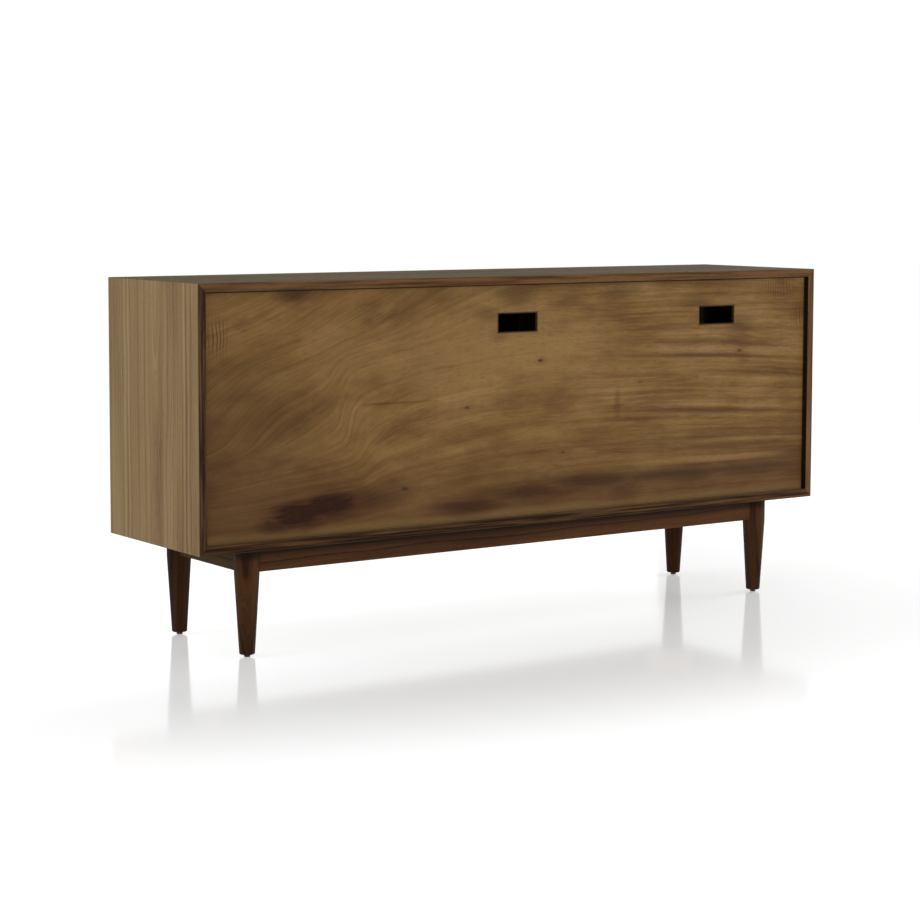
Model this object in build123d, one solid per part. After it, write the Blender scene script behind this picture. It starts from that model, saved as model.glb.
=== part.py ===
from build123d import *
import os

# Sideboard buffet, in millimetres. The origin lies on the floor under the middle of the case,
# +Z is up, the doors and drawers face -Y, the back panel faces +Y, and left is -X.

# Case of four mitred boards
case_width = 1642.0
case_depth = 393.0
case_height = 540.0
board = 18.0
drawer_bay_width = 474.0
edge_ease = 1.0
wood_gap = 0.1

# Splines across the mitres
spline_thickness = 4.0
spline_width = 10.0
spline_end = 32.0

# Back panel with two cord cut-outs
back_recess = 12.0
back_thickness = 6.0
back_groove_depth = 6.0
cord_hole_width = 102.0
cord_hole_height = 39.0
cord_hole_drop = 81.0
cord_hole_round = 3.0

# Stopped housings that hold the dividers
housing_depth = 5.0
housing_stop = 14.0

# Turned legs and the rails between them
leg_clearance = 222.0
leg_inset_end = 135.0
leg_inset_back = 51.0
leg_top_diameter = 52.0
leg_foot_diameter = 32.0
leg_shoulder = 3.0
leg_foot_chamfer = 1.5
rail_thickness = 24.0
rail_height = 49.0
rail_chamfer = 1.5
tenon_thickness = 10.0
tenon_height = 30.0
tenon_inset = 9.0

# Corner blocks inside the base
corner_block_side = 78.0
corner_block_height = 32.0

# Floor glides
glide_diameter = 13.0
glide_height = 5.5
glide_edge = 1.0

# Doors and drawer fronts
front_board = 18.0
reveal = 2.0
scoop_width = 120.0
scoop_depth = 22.0
scoop_shoulder = 8.0

# Door pivots
pivot_diameter = 6.0
pivot_in_door = 14.0
pivot_in_bush = 7.0
bush_diameter = 10.0
bush_length = 9.0
bush_flange_diameter = 15.0
bush_flange = 1.0
turning_fit = 0.05
pressed_fit = 0.02

# Magnetic catches
catch_width = 30.0
catch_depth = 14.0
catch_drop = 12.0
catch_ear = 9.0
catch_ear_thickness = 2.5
catch_edge_distance = 45.0
catch_gap = 0.3
strike_width = 38.0
strike_height = 14.0
strike_thickness = 1.5
strike_corner = 3.0

# Adjustable shelves
shelf_thickness = 16.0
shelf_setback = 24.0
shelf_back_gap = 2.0
shelf_side_gap = 2.0
pin_hole_wall = 1.0
pin_hole_diameter = 5.0
pin_hole_count = 3
pin_hole_pitch = 32.0
pin_row_inset = 45.0
pin_reach = 9.0

# Drawer boxes
drawer_count = 3
drawer_board = 12.0
drawer_side_lift = 18.0
drawer_side_height = 120.0
drawer_rear_gap = 6.0
drawer_bottom_thickness = 6.0
drawer_bottom_lift = 10.0
drawer_groove = 5.0
drawer_back_inset = 12.0
drawer_back_drop = 6.0
key_root = 6.0
key_tip = 9.0
key_length = 9.0
key_stop = 8.0

# Three-member drawer slides, bent from sheet
slide_thickness = 12.5
slide_height = 44.0
slide_sheet = 1.2
slide_play = 0.3
slide_mouth = 10.0
slide_lip = 3.0
slide_middle_lip = 4.0
slide_setback = 2.0
slide_rear_gap = 8.0

# Planes of the case
half_w = case_width / 2
half_d = case_depth / 2
case_bottom = leg_clearance
case_top = leg_clearance + case_height
inner_bottom = case_bottom + board
inner_top = case_top - board
inner_height = inner_top - inner_bottom
back_face = half_d - back_recess - back_thickness
front_inner = -half_d + front_board

# Bays from left to right
cabinet_bay_width = (case_width - 4 * board - drawer_bay_width) / 2
left_bay_start = -half_w + board
left_bay_end = left_bay_start + cabinet_bay_width
centre_bay_start = left_bay_end + board
centre_bay_end = centre_bay_start + cabinet_bay_width
drawer_bay_start = centre_bay_end + board
drawer_bay_end = half_w - board

# Door pivots stand half a door thickness in from the hinge edge and from the front
pivot_y = -half_d + front_board / 2
left_pivot_x = left_bay_start + reveal + front_board / 2
centre_pivot_x = centre_bay_end - reveal - front_board / 2
scoop_radius = (scoop_width**2 / 4 + scoop_depth**2) / (2 * scoop_depth)

# Leg axes
leg_x = half_w - leg_inset_end
leg_y = half_d - leg_inset_back

# Shelves and the pin holes that carry them
shelf_front = front_inner + shelf_setback
shelf_back = back_face - shelf_back_gap
pin_rows = (shelf_front + pin_row_inset, shelf_back - pin_row_inset)
pin_middle = inner_bottom + inner_height / 2
pin_hole_depth = board / 2 - pin_hole_wall
shelf_bottom = pin_middle + pin_hole_diameter / 2

# Drawer boxes and slides
drawer_front_height = (inner_height - (drawer_count + 1) * reveal) / drawer_count
drawer_box_start = drawer_bay_start + slide_thickness
drawer_box_end = drawer_bay_end - slide_thickness
drawer_side_end = back_face - drawer_rear_gap
slide_front = front_inner + slide_setback
slide_length = drawer_side_end - slide_front - slide_rear_gap


def block(x0, x1, y0, y1, z0, z1):
    """Board between two opposite corners."""
    return Pos((x0 + x1) / 2, (y0 + y1) / 2, (z0 + z1) / 2) * Box(x1 - x0, y1 - y0, z1 - z0)


def turned(profile, origin, direction):
    """Round piece with its profile of (radius, height) points stood on a point along a direction."""
    outline = make_face(Polyline(*profile, close=True))
    piece = revolve(Plane.XZ * outline, Axis.Z)
    return Plane(origin=origin, z_dir=direction) * piece


def bar(diameter, length, origin, direction):
    """Round bar or bore from a point along a direction."""
    profile = [(0, 0), (diameter / 2, 0), (diameter / 2, length), (0, length)]
    return turned(profile, origin, direction)


def case_ring():
    """The four case boards as one eased ring, grooved for the back and housed for the dividers."""
    outer = block(-half_w, half_w, -half_d, half_d, case_bottom, case_top)
    hollow = block(-half_w + board, half_w - board, -half_d, half_d, inner_bottom, inner_top)
    ring = outer - hollow
    corners = ring.edges().filter_by(Axis.Y)
    inside = corners.filter_by(lambda e: abs(e.center().X) < half_w - board / 2)
    ring = chamfer(ring.edges() - inside, edge_ease)
    reach = half_w - board + back_groove_depth
    floor = inner_bottom - back_groove_depth
    roof = inner_top + back_groove_depth
    ring -= block(-reach, reach, back_face - wood_gap, back_face + back_thickness + wood_gap, floor, roof)
    for start in (left_bay_end, centre_bay_end):
        ring -= divider_housing(start)
    for slot in mitre_spline_solids(wood_gap):
        ring -= slot
    return ring


def divider_housing(start):
    """Stopped housing for one divider in the top and bottom boards."""
    left = start - wood_gap
    right = start + board + wood_gap
    front = -half_d + housing_stop - wood_gap
    low = inner_bottom - housing_depth
    high = inner_top + housing_depth
    return block(left, right, front, back_face, low, high)


def mitre_spline_solids(gap):
    """Four splines square across the mitre faces, or their slots when a gap is given."""
    solids = []
    length = case_depth - 2 * spline_end
    for side in (-1, 1):
        for level in (-1, 1):
            middle_z = case_bottom + case_height / 2 + level * (case_height - board) / 2
            place = Pos(side * (half_w - board / 2), 0, middle_z) * Rot(0, 45 * side * level, 0)
            thickness = spline_thickness + 2 * gap
            solids.append(place * Box(spline_width + 2 * gap, length + 2 * gap, thickness))
    return solids


def mitred(ring, corners):
    """The share of the ring inside a prism whose slanted sides are the mitre planes."""
    wedge = extrude(Plane.XZ * make_face(Polyline(*corners, close=True)), case_depth, both=True)
    return ring & wedge


def bush_bore(origin, direction):
    """Bore that takes a pivot bush."""
    return bar(bush_diameter + 2 * pressed_fit, bush_length + pressed_fit, origin, direction)


def top_panel(ring):
    """Top board, bored for the upper pivot bushes."""
    out = board
    inn = board + spline_width
    corners = [
        (-half_w - out, case_top + out),
        (half_w + out, case_top + out),
        (half_w - inn, case_top - inn),
        (-half_w + inn, case_top - inn),
    ]
    panel = mitred(ring, corners)
    for pivot_x in (left_pivot_x, centre_pivot_x):
        panel -= bush_bore((pivot_x, pivot_y, inner_top), (0, 0, 1))
    return panel


def bottom_panel(ring):
    """Bottom board, bored for the lower pivot bushes."""
    out = board
    inn = board + spline_width
    corners = [
        (-half_w - out, case_bottom - out),
        (half_w + out, case_bottom - out),
        (half_w - inn, case_bottom + inn),
        (-half_w + inn, case_bottom + inn),
    ]
    panel = mitred(ring, corners)
    for pivot_x in (left_pivot_x, centre_pivot_x):
        panel -= bush_bore((pivot_x, pivot_y, inner_bottom), (0, 0, -1))
    return panel


def end_panel(ring, side):
    """End board on the left (side -1) or on the right (side 1)."""
    out = board
    inn = board + spline_width
    corners = [
        (side * (half_w + out), case_top + out),
        (side * (half_w - inn), case_top - inn),
        (side * (half_w - inn), case_bottom + inn),
        (side * (half_w + out), case_bottom - out),
    ]
    return mitred(ring, corners)


def left_end_panel(ring):
    """Left end board with the shelf pin holes of the left bay."""
    panel = end_panel(ring, -1)
    for hole in pin_holes(left_bay_start, -1):
        panel -= hole
    return panel


def divider(start):
    """Divider with a tongue at top and bottom that stops short of the front edge."""
    rear = back_face - wood_gap
    body = block(start, start + board, -half_d, rear, inner_bottom + wood_gap, inner_top - wood_gap)
    front_edges = body.edges().filter_by(Axis.Z).sort_by(Axis.Y)[:2]
    body = chamfer(front_edges, edge_ease)
    low = inner_bottom - housing_depth + wood_gap
    high = inner_top + housing_depth - wood_gap
    return body + block(start, start + board, -half_d + housing_stop, rear, low, high)


def left_divider():
    """Divider between the two cabinet bays, with pin holes on both faces."""
    panel = divider(left_bay_end)
    for hole in pin_holes(left_bay_end, 1) + pin_holes(centre_bay_start, -1):
        panel -= hole
    return panel


def right_divider():
    """Divider between the centre bay and the drawers."""
    panel = divider(centre_bay_end)
    for hole in pin_holes(centre_bay_end, 1):
        panel -= hole
    return panel


def back_panel():
    """Back panel in the case groove, with one cord cut-out behind the middle of each cabinet bay."""
    width = case_width - 2 * board + 2 * (back_groove_depth - wood_gap)
    height = inner_height + 2 * (back_groove_depth - wood_gap)
    outline = Pos(0, (inner_bottom + inner_top) / 2) * Rectangle(width, height)
    hole_z = case_top - cord_hole_drop - cord_hole_height / 2
    for hole_x in cord_hole_centres():
        hole = RectangleRounded(cord_hole_width, cord_hole_height, cord_hole_round)
        outline -= Pos(hole_x, hole_z) * hole
    return Pos(0, back_face + back_thickness, 0) * extrude(Plane.XZ * outline, back_thickness)


def cord_hole_centres():
    """Middles of the two cabinet bays."""
    return ((left_bay_start + left_bay_end) / 2, (centre_bay_start + centre_bay_end) / 2)


def pin_holes(wall_x, direction):
    """Two columns of blind shelf pin holes bored into a wall."""
    holes = []
    for row_y in pin_rows:
        for index in range(pin_hole_count):
            z = pin_middle + (index - (pin_hole_count - 1) / 2) * pin_hole_pitch
            holes.append(bar(pin_hole_diameter, pin_hole_depth, (wall_x, row_y, z), (direction, 0, 0)))
    return holes


def shelf(start, end):
    """Adjustable shelf with eased front edges."""
    left = start + shelf_side_gap
    right = end - shelf_side_gap
    panel = block(left, right, shelf_front, shelf_back, shelf_bottom, shelf_bottom + shelf_thickness)
    front_edges = panel.edges().filter_by(Axis.X).sort_by(Axis.Y)[:2]
    return chamfer(front_edges, edge_ease)


def shelf_pins():
    """Four plain pins under each shelf, pushed into the middle holes."""
    diameter = pin_hole_diameter - 2 * pressed_fit
    sunk = pin_hole_depth - pin_hole_wall
    walls = [(left_bay_start, 1), (left_bay_end, -1), (centre_bay_start, 1), (centre_bay_end, -1)]
    pins = []
    for wall_x, direction in walls:
        for row_y in pin_rows:
            root = (wall_x - direction * sunk, row_y, pin_middle)
            pins.append(bar(diameter, sunk + pin_reach, root, (direction, 0, 0)))
    return Compound(children=pins)


def leg_turning(gap):
    """Leg about the Z axis, grown by a gap: straight where the rails meet it, tapered below them."""
    foot = leg_foot_diameter / 2 + gap
    top = leg_top_diameter / 2 + gap
    shoulder = case_bottom - rail_height - leg_shoulder
    floor = glide_height
    roof = case_bottom
    profile = [(0, floor), (foot, floor), (top, shoulder), (top, roof), (0, roof)]
    return turned(profile, (0, 0, 0), (0, 0, 1))


def leg(side_x, side_y):
    """Turned leg with two mortises that face its neighbours."""
    turning = leg_turning(0)
    foot_edge = turning.edges().filter_by(GeomType.CIRCLE).sort_by(Axis.Z)[:1]
    turning = chamfer(foot_edge, leg_foot_chamfer)
    piece = Pos(side_x * leg_x, side_y * leg_y, 0) * turning
    piece -= long_tenon(side_x, side_y, wood_gap)
    return piece - cross_tenon(side_x, side_y, wood_gap)


def tenon_levels(gap):
    """Bottom and top of the tenons, in the middle of the rail height."""
    middle = case_bottom - rail_height / 2
    return middle - tenon_height / 2 - gap, middle + tenon_height / 2 + gap


def long_tenon(side_x, side_y, gap):
    """Tenon of the front or back rail in one leg, or its mortise when a gap is given."""
    low, high = tenon_levels(gap)
    inner = side_x * (leg_x - leg_top_diameter / 2 - tenon_inset)
    tip = side_x * (leg_x - tenon_inset + gap)
    half = tenon_thickness / 2 + gap
    middle = side_y * leg_y
    return block(min(inner, tip), max(inner, tip), middle - half, middle + half, low, high)


def cross_tenon(side_x, side_y, gap):
    """Tenon of an end rail in one leg, or its mortise when a gap is given."""
    low, high = tenon_levels(gap)
    inner = side_y * (leg_y - leg_top_diameter / 2 - tenon_inset)
    tip = side_y * (leg_y - tenon_inset + gap)
    half = tenon_thickness / 2 + gap
    middle = side_x * leg_x
    return block(middle - half, middle + half, min(inner, tip), max(inner, tip), low, high)


def long_rail(side_y):
    """Front (side -1) or back (side 1) rail, coped round the legs and tenoned into them."""
    y0 = side_y * leg_y - rail_thickness / 2
    y1 = side_y * leg_y + rail_thickness / 2
    rail = block(-leg_x, leg_x, y0, y1, case_bottom - rail_height, case_bottom)
    low_edges = rail.edges().filter_by(Axis.X).sort_by(Axis.Z)[:2]
    rail = chamfer(low_edges, rail_chamfer)
    for side_x in (-1, 1):
        rail -= Pos(side_x * leg_x, side_y * leg_y, 0) * leg_turning(wood_gap)
        rail += long_tenon(side_x, side_y, 0)
    return rail


def end_rail(side_x):
    """Left (side -1) or right (side 1) rail, coped round the legs and tenoned into them."""
    x0 = side_x * leg_x - rail_thickness / 2
    x1 = side_x * leg_x + rail_thickness / 2
    rail = block(x0, x1, -leg_y, leg_y, case_bottom - rail_height, case_bottom)
    low_edges = rail.edges().filter_by(Axis.Y).sort_by(Axis.Z)[:2]
    rail = chamfer(low_edges, rail_chamfer)
    for side_y in (-1, 1):
        rail -= Pos(side_x * leg_x, side_y * leg_y, 0) * leg_turning(wood_gap)
        rail += cross_tenon(side_x, side_y, 0)
    return rail


def corner_blocks():
    """Triangular blocks between the rails, hollowed round the legs."""
    blocks = []
    inset = rail_thickness / 2 + wood_gap
    for side_x in (-1, 1):
        for side_y in (-1, 1):
            x = side_x * (leg_x - inset)
            y = side_y * (leg_y - inset)
            corners = [(x, y), (x - side_x * corner_block_side, y), (x, y - side_y * corner_block_side)]
            piece = extrude(make_face(Polyline(*corners, close=True)), corner_block_height, dir=(0, 0, 1))
            piece = Pos(0, 0, case_bottom - corner_block_height) * piece
            piece -= Pos(side_x * leg_x, side_y * leg_y, 0) * leg_turning(wood_gap)
            blocks.append(piece.solid())
    return Compound(children=blocks)


def leg_glides():
    """Round glides under the legs, each with a bevelled lower rim."""
    rim = glide_diameter / 2
    profile = [(0, 0), (rim - glide_edge, 0), (rim, glide_edge), (rim, glide_height), (0, glide_height)]
    glides = []
    for side_x in (-1, 1):
        for side_y in (-1, 1):
            glides.append(turned(profile, (side_x * leg_x, side_y * leg_y, 0), (0, 0, 1)))
    return Compound(children=glides)


def front_blank(x0, x1, z0, z1, edge, outward):
    """Door or drawer front with a half-moon finger scoop in the middle of one edge."""
    outline = Pos((x0 + x1) / 2, (z0 + z1) / 2) * Rectangle(x1 - x0, z1 - z0)
    reach = scoop_radius - scoop_depth
    outline -= Pos(edge[0] + outward[0] * reach, edge[1] + outward[1] * reach) * Circle(scoop_radius)
    near = outline.vertices().sort_by_distance((edge[0], edge[1], 0))[:2]
    outline = fillet(near, scoop_shoulder)
    return Pos(0, front_inner, 0) * extrude(Plane.XZ * outline, front_board)


def door(start, end, hinge):
    """Door with a half-round hinge edge about its pivots, on the left (hinge -1) or right (hinge 1)."""
    x0 = start + reveal
    x1 = end - reveal
    z0 = inner_bottom + reveal
    z1 = inner_top - reveal
    free_x = x1 if hinge < 0 else x0
    panel = front_blank(x0, x1, z0, z1, (free_x, (z0 + z1) / 2), (-hinge, 0))
    uprights = panel.edges().filter_by(Axis.Z).sort_by(Axis.X)
    panel = fillet(uprights[:2] if hinge < 0 else uprights[-2:], front_board / 2 - turning_fit)
    rims = panel.faces().sort_by(Axis.Y)
    arrises = rims[0].edges() + rims[-1].edges()
    hinge_x = x0 if hinge < 0 else x1
    arrises = arrises.filter_by(lambda e: abs(e.center().X - hinge_x) > front_board)
    panel = chamfer(arrises, edge_ease)
    pivot_x = left_pivot_x if hinge < 0 else centre_pivot_x
    bore = pivot_diameter + 2 * pressed_fit
    panel -= bar(bore, pivot_in_door + pressed_fit, (pivot_x, pivot_y, z0), (0, 0, 1))
    return panel - bar(bore, pivot_in_door + pressed_fit, (pivot_x, pivot_y, z1), (0, 0, -1))


def door_pivots(pivot_x):
    """Upper and lower pivot pins, fixed in the door and turning in the bushes."""
    length = pivot_in_door + reveal + pivot_in_bush
    upper = bar(pivot_diameter, length, (pivot_x, pivot_y, inner_top + pivot_in_bush), (0, 0, -1))
    lower = bar(pivot_diameter, length, (pivot_x, pivot_y, inner_bottom - pivot_in_bush), (0, 0, 1))
    return Compound(children=[upper, lower])


def pivot_bushes():
    """Flanged bushes in the top and bottom boards, blind at the far end."""
    bore = pivot_diameter / 2 + turning_fit
    depth = pivot_in_bush + pressed_fit
    profile = [
        (bore, bush_flange),
        (bush_flange_diameter / 2, bush_flange),
        (bush_flange_diameter / 2, 0),
        (bush_diameter / 2, 0),
        (bush_diameter / 2, -bush_length),
        (0, -bush_length),
        (0, -depth),
        (bore, -depth),
    ]
    bushes = []
    for pivot_x in (left_pivot_x, centre_pivot_x):
        bushes.append(turned(profile, (pivot_x, pivot_y, inner_top), (0, 0, -1)))
        bushes.append(turned(profile, (pivot_x, pivot_y, inner_bottom), (0, 0, 1)))
    return Compound(children=bushes)


def catch_centres():
    """Middles of the two catches, near the free edge of each door."""
    return (left_bay_end - catch_edge_distance, centre_bay_start + catch_edge_distance)


def door_catches():
    """Magnetic catches under the top board, each a housing with two screw ears."""
    catches = []
    front = front_inner + strike_thickness + catch_gap
    for middle in catch_centres():
        half = catch_width / 2
        low = inner_top - catch_drop
        housing = block(middle - half, middle + half, front, front + catch_depth, low, inner_top)
        housing = chamfer(housing.edges().filter_by(Axis.Y).sort_by(Axis.Z)[:2], edge_ease)
        reach = half + catch_ear
        ear_low = inner_top - catch_ear_thickness
        housing += block(middle - reach, middle + reach, front, front + catch_depth, ear_low, inner_top)
        catches.append(housing.solid())
    return Compound(children=catches)


def strike_plate(middle):
    """Steel strike on the inner face of a door, with clipped corners."""
    z = inner_top - catch_drop / 2 - reveal
    outline = Pos(middle, z) * Rectangle(strike_width, strike_height)
    outline = chamfer(outline.vertices(), strike_corner)
    return Pos(0, front_inner + strike_thickness, 0) * extrude(Plane.XZ * outline, strike_thickness)


def drawer_floor(index):
    """Level of the lower edge of a drawer front, counted from the bottom drawer."""
    return inner_bottom + reveal + index * (drawer_front_height + reveal)


def drawer_front(index):
    """Inset drawer front with a scoop, dovetail slots for the sides and a groove for the bottom."""
    x0 = drawer_bay_start + reveal
    x1 = drawer_bay_end - reveal
    z0 = drawer_floor(index)
    z1 = z0 + drawer_front_height
    front = front_blank(x0, x1, z0, z1, ((x0 + x1) / 2, z1), (0, 1))
    rims = front.faces().sort_by(Axis.Y)
    front = chamfer(rims[0].edges() + rims[-1].edges(), edge_ease)
    side_top = z0 + drawer_side_lift + drawer_side_height
    for middle in (drawer_box_start + drawer_board / 2, drawer_box_end - drawer_board / 2):
        front -= dovetail(middle, z0, side_top - key_stop + wood_gap, wood_gap)
    low = z0 + drawer_side_lift + drawer_bottom_lift - wood_gap
    high = low + drawer_bottom_thickness + 2 * wood_gap
    left = drawer_box_start + drawer_board - drawer_groove
    right = drawer_box_end - drawer_board + drawer_groove
    return front - block(left, right, front_inner - drawer_groove, front_inner, low, high)


def dovetail(middle, low, high, gap):
    """Upright dovetail key at the front end of a drawer side, or its slot when a gap is given."""
    root = key_root / 2 + gap
    tip = key_tip / 2 + gap
    tip_y = front_inner - key_length - gap
    corners = [
        (middle - root, front_inner),
        (middle + root, front_inner),
        (middle + tip, tip_y),
        (middle - tip, tip_y),
    ]
    plan = Pos(0, 0, low) * make_face(Polyline(*corners, close=True))
    return extrude(plan, high - low, dir=(0, 0, 1))


def drawer_side(index, side):
    """Left (side -1) or right (side 1) drawer side with its key, bottom groove and back housing."""
    outer = drawer_box_start if side < 0 else drawer_box_end
    inner = outer - side * drawer_board
    z0 = drawer_floor(index) + drawer_side_lift
    z1 = z0 + drawer_side_height
    panel = block(min(outer, inner), max(outer, inner), front_inner, drawer_side_end, z0, z1)
    top_edges = panel.edges().filter_by(Axis.Y).sort_by(Axis.Z)[-2:]
    panel = chamfer(top_edges, edge_ease)
    panel += dovetail((outer + inner) / 2, z0, z1 - key_stop, 0)
    deep = inner + side * drawer_groove
    low = z0 + drawer_bottom_lift - wood_gap
    high = low + drawer_bottom_thickness + 2 * wood_gap
    left = min(inner, deep)
    right = max(inner, deep)
    panel -= block(left, right, front_inner - drawer_groove, drawer_side_end, low, high)
    rear, front = drawer_back_faces()
    panel -= block(left, right, front - wood_gap, rear + wood_gap, high, z1)
    return panel


def drawer_back_faces():
    """Rear and front faces of the drawer back."""
    rear = drawer_side_end - drawer_back_inset
    return rear, rear - drawer_board


def drawer_back(index):
    """Drawer back, housed in the sides and standing on the bottom."""
    reach = drawer_board - drawer_groove + wood_gap
    z0 = drawer_floor(index) + drawer_side_lift
    low = z0 + drawer_bottom_lift + drawer_bottom_thickness + wood_gap
    high = z0 + drawer_side_height - drawer_back_drop
    rear, front = drawer_back_faces()
    panel = block(drawer_box_start + reach, drawer_box_end - reach, front, rear, low, high)
    return chamfer(panel.edges().filter_by(Axis.X).sort_by(Axis.Z)[-2:], edge_ease)


def drawer_bottom(index):
    """Drawer bottom in the grooves of the front and the sides, running out under the back."""
    reach = drawer_board - drawer_groove + wood_gap
    low = drawer_floor(index) + drawer_side_lift + drawer_bottom_lift
    high = low + drawer_bottom_thickness
    front = front_inner - drawer_groove + wood_gap
    rear = drawer_side_end - wood_gap
    return block(drawer_box_start + reach, drawer_box_end - reach, front, rear, low, high)


def slide_level(index):
    """Height of the middle of a drawer's slides."""
    return drawer_floor(index) + drawer_side_lift + drawer_side_height / 2


def channel(u0, u1, half_v, lip):
    """Lipped channel section bent from sheet, with its web at u0 and its mouth at u1."""
    s = slide_sheet / 2
    bends = [
        (u1 - s, half_v - lip),
        (u1 - s, half_v - s),
        (u0 + s, half_v - s),
        (u0 + s, -half_v + s),
        (u1 - s, -half_v + s),
        (u1 - s, -half_v + lip),
    ]
    return trace(Polyline(*bends), slide_sheet)


def middle_faces():
    """Web, mouth and half height of the middle member, one play inside the cabinet member."""
    clear = slide_sheet + slide_play
    return clear, slide_mouth - clear, slide_height / 2 - clear


def hat():
    """Hat section of the drawer member: its brim runs behind the lips, its crown meets the drawer."""
    s = slide_sheet / 2
    web, mouth, half_v = middle_faces()
    brim_u = mouth - slide_sheet - slide_play - s
    brim_v = half_v - slide_sheet - slide_play
    neck_v = half_v - slide_middle_lip - slide_play - s
    crown_u = slide_thickness - s
    bends = [
        (brim_u, brim_v),
        (brim_u, neck_v),
        (crown_u, neck_v),
        (crown_u, -neck_v),
        (brim_u, -neck_v),
        (brim_u, -brim_v),
    ]
    return trace(Polyline(*bends), slide_sheet)


def slide_walls():
    """The two bay walls that carry slides, each with the way to the drawer."""
    return ((drawer_bay_start, 1), (drawer_bay_end, -1))


def run_slide(section, wall_x, direction, index):
    """Slide member: a section stood off a wall and run from front to back."""
    origin = (wall_x, slide_front, slide_level(index))
    place = Plane(origin=origin, x_dir=(direction, 0, 0), z_dir=(0, 1, 0))
    return extrude(place * section, slide_length, dir=(0, 1, 0))


def slide_cabinet_members():
    """Outer channels of all six slides, against the bay walls."""
    members = []
    for wall_x, direction in slide_walls():
        for index in range(drawer_count):
            section = channel(0, slide_mouth, slide_height / 2, slide_lip)
            members.append(run_slide(section, wall_x, direction, index).solid())
    return Compound(children=members)


def slide_middle_members(index):
    """Middle channels of one drawer's slides."""
    members = []
    web, mouth, half_v = middle_faces()
    for wall_x, direction in slide_walls():
        section = channel(web, mouth, half_v, slide_middle_lip)
        members.append(run_slide(section, wall_x, direction, index).solid())
    return Compound(children=members)


def slide_drawer_members(index):
    """Inner hat sections of one drawer's slides, against the drawer sides."""
    members = []
    for wall_x, direction in slide_walls():
        members.append(run_slide(hat(), wall_x, direction, index).solid())
    return Compound(children=members)


ring = case_ring()
left_catch_x, centre_catch_x = catch_centres()
nodes = {
    "top_panel": top_panel(ring),
    "bottom_panel": bottom_panel(ring),
    "left_end_panel": left_end_panel(ring),
    "right_end_panel": end_panel(ring, 1),
    "mitre_splines": Compound(children=mitre_spline_solids(0)),
    "left_divider": left_divider(),
    "right_divider": right_divider(),
    "back_panel": back_panel(),
    "left_shelf": shelf(left_bay_start, left_bay_end),
    "centre_shelf": shelf(centre_bay_start, centre_bay_end),
    "shelf_pins": shelf_pins(),
    "front_left_leg": leg(-1, -1),
    "front_right_leg": leg(1, -1),
    "back_left_leg": leg(-1, 1),
    "back_right_leg": leg(1, 1),
    "front_rail": long_rail(-1),
    "back_rail": long_rail(1),
    "left_rail": end_rail(-1),
    "right_rail": end_rail(1),
    "corner_blocks": corner_blocks(),
    "leg_glides": leg_glides(),
    "pivot_bushes": pivot_bushes(),
    "door_catches": door_catches(),
    "left_door_panel": door(left_bay_start, left_bay_end, -1),
    "left_door_pivots": door_pivots(left_pivot_x),
    "left_door_strike": strike_plate(left_catch_x),
    "centre_door_panel": door(centre_bay_start, centre_bay_end, 1),
    "centre_door_pivots": door_pivots(centre_pivot_x),
    "centre_door_strike": strike_plate(centre_catch_x),
    "slide_cabinet_members": slide_cabinet_members(),
}
for index, level in enumerate(("lower", "middle", "upper")):
    nodes[f"{level}_drawer_front"] = drawer_front(index)
    nodes[f"{level}_drawer_left_side"] = drawer_side(index, -1)
    nodes[f"{level}_drawer_right_side"] = drawer_side(index, 1)
    nodes[f"{level}_drawer_back"] = drawer_back(index)
    nodes[f"{level}_drawer_bottom"] = drawer_bottom(index)
    nodes[f"{level}_drawer_slide_members"] = slide_drawer_members(index)
    nodes[f"{level}_slide_middle_members"] = slide_middle_members(index)

os.makedirs("parts", exist_ok=True)
for name, shape in nodes.items():
    export_step(shape, f"parts/{name}.step")
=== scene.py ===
# %% [markdown]
# # A long walnut buffet, seen from behind
# The real object is a low cabinet on four turned legs. Its solids come ready made: they are loaded as a
# fixed frame, in metres, and nothing in this lesson moves them. What is left for us is the way it looks:
# the camera, the studio, the timber, and the small screws and magnets that sit on the solids.

# %% Load the frame
import bpy
import math
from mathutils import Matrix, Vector


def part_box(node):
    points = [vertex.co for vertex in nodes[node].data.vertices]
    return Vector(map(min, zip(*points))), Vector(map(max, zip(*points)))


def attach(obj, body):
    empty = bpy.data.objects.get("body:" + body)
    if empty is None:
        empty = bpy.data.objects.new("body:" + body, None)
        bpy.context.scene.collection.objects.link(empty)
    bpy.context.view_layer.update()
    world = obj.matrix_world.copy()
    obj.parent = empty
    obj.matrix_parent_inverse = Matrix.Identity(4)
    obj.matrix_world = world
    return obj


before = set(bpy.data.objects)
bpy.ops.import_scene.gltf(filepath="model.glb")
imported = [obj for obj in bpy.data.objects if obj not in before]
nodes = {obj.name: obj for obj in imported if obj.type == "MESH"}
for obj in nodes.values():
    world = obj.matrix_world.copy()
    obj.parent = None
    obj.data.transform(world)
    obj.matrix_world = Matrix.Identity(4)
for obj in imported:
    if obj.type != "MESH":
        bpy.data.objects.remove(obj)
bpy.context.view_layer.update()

# %% [markdown]
# ## Camera
# The cabinet was photographed from behind its drawer end, from about chest height, with a long lens. The
# place of such a camera can be worked out from the corners of the case in the picture. A little vertical
# shift keeps the uprights upright, as a shift lens does.

# %% Camera
bpy.ops.object.select_all(action="DESELECT")
camera_place = (2.9671, 4.1759, 0.9463)
camera_turn = [math.radians(angle) for angle in (85.2693, -0.1509, 145.1655)]
bpy.ops.object.camera_add(location=camera_place, rotation=camera_turn)
camera = bpy.context.object
camera.name = "studio_camera"
camera.data.lens = 90.03
camera.data.shift_y = -0.087
bpy.context.scene.camera = camera
print("camera stands", round(camera.location.length, 2), "m from the middle of the floor")

# %% [markdown]
# ## Helpers for materials
# Every finish is wired from the same few kinds of nodes, so each kind gets a small helper that adds the
# node and fills in its sockets: a colour, a sum, a fade between two limits, a mix of two colours, a noise
# with its size in metres, a ramp of colours.

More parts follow.
